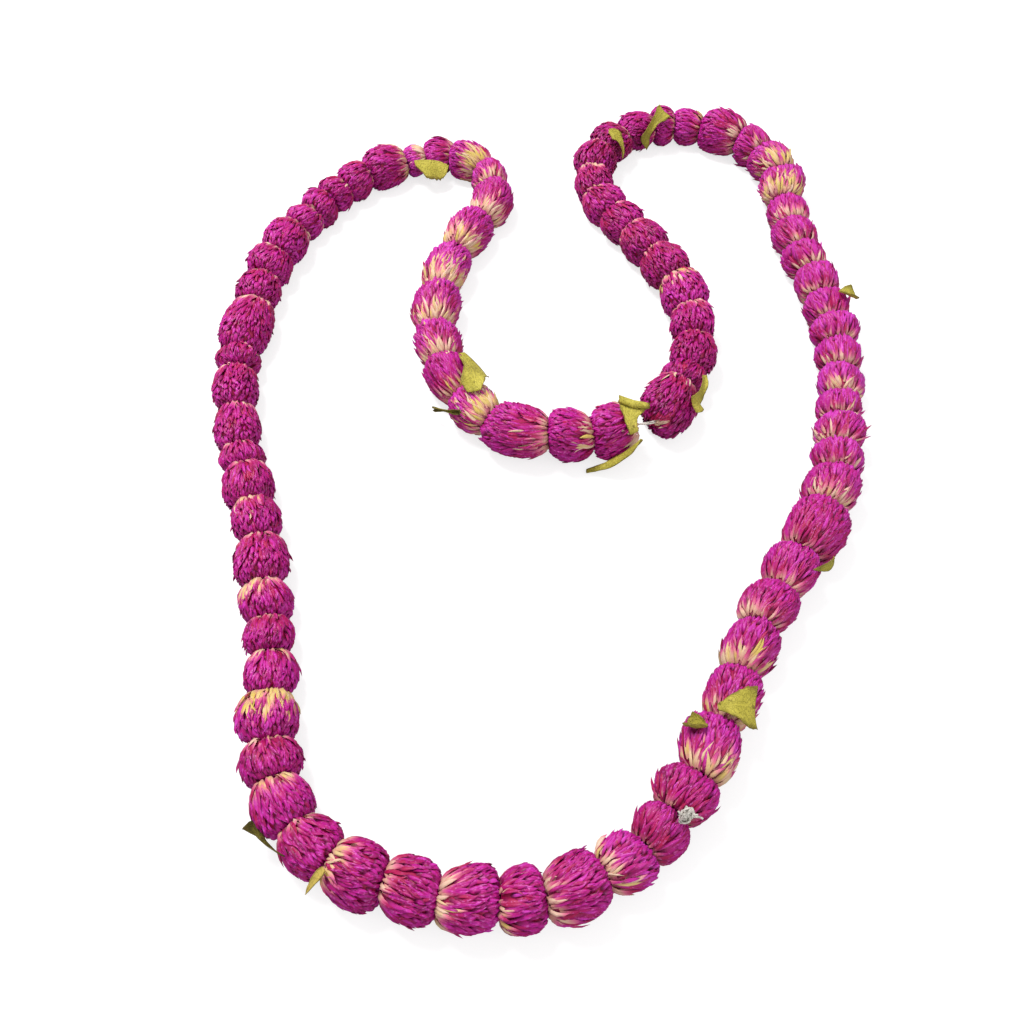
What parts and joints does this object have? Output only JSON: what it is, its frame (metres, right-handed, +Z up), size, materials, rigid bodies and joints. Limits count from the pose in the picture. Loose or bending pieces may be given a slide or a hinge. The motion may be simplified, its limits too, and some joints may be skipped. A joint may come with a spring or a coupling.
{
  "type": "globe amaranth garland",
  "caption": "Garland of dried globe amaranth flower heads strung end to end on one thread, laid flat as a closed loop whose two arms turn back inwards.",
  "frame": {"origin": "centre of the bounding box in plan, on the surface that the garland lies on", "axes": "+Z up from that surface, +Y from the wide bottom bend of the loop towards the two bends at its top"},
  "size_m": [0.2436, 0.3464, 0.0193],
  "materials": {
    "purple_bracts": "dry papery bracts, soft sheen",
    "white_thread": "matte cotton",
    "dried_leaf": "matte dried leaf"
  },
  "bodies": {
    "root": {"heads_01_02": "purple_bracts", "heads_03_04": "purple_bracts", "heads_05_06": "purple_bracts", "heads_07_08": "purple_bracts", "heads_09_10": "purple_bracts", "heads_11_12": "purple_bracts", "heads_13_14": "purple_bracts", "heads_15_16": "purple_bracts", "heads_17_18": "purple_bracts", "heads_19_20": "purple_bracts", "heads_21_22": "purple_bracts", "heads_23_24": "purple_bracts", "heads_25_26": "purple_bracts", "heads_27_28": "purple_bracts", "heads_29_30": "purple_bracts", "heads_31_32": "purple_bracts", "heads_33_34": "purple_bracts", "heads_35_36": "purple_bracts", "heads_37_38": "purple_bracts", "heads_39_40": "purple_bracts", "heads_41_42": "purple_bracts", "heads_43_44": "purple_bracts", "heads_45_46": "purple_bracts", "heads_47_48": "purple_bracts", "heads_49_50": "purple_bracts", "heads_51_52": "purple_bracts", "heads_53_54": "purple_bracts", "heads_55_56": "purple_bracts", "heads_57_58": "purple_bracts", "heads_59_60": "purple_bracts", "heads_61_62": "purple_bracts", "heads_63_64": "purple_bracts", "heads_65_66": "purple_bracts", "heads_67_68": "purple_bracts", "heads_69_70": "purple_bracts", "heads_71_72": "purple_bracts", "heads_73_74": "purple_bracts", "heads_75_76": "purple_bracts", "heads_77_78": "purple_bracts", "heads_79_80": "purple_bracts", "heads_81_82": "purple_bracts", "leaf_01": "dried_leaf", "leaf_02": "dried_leaf", "leaf_03": "dried_leaf", "leaf_04": "dried_leaf", "leaf_05": "dried_leaf", "leaf_06": "dried_leaf", "leaf_07": "dried_leaf", "leaf_08": "dried_leaf", "leaf_09": "dried_leaf", "leaf_10": "dried_leaf", "leaf_11": "dried_leaf", "leaf_12": "dried_leaf", "leaf_13": "dried_leaf", "leaf_14": "dried_leaf", "thread": "white_thread"}
  },
  "joints": []
}
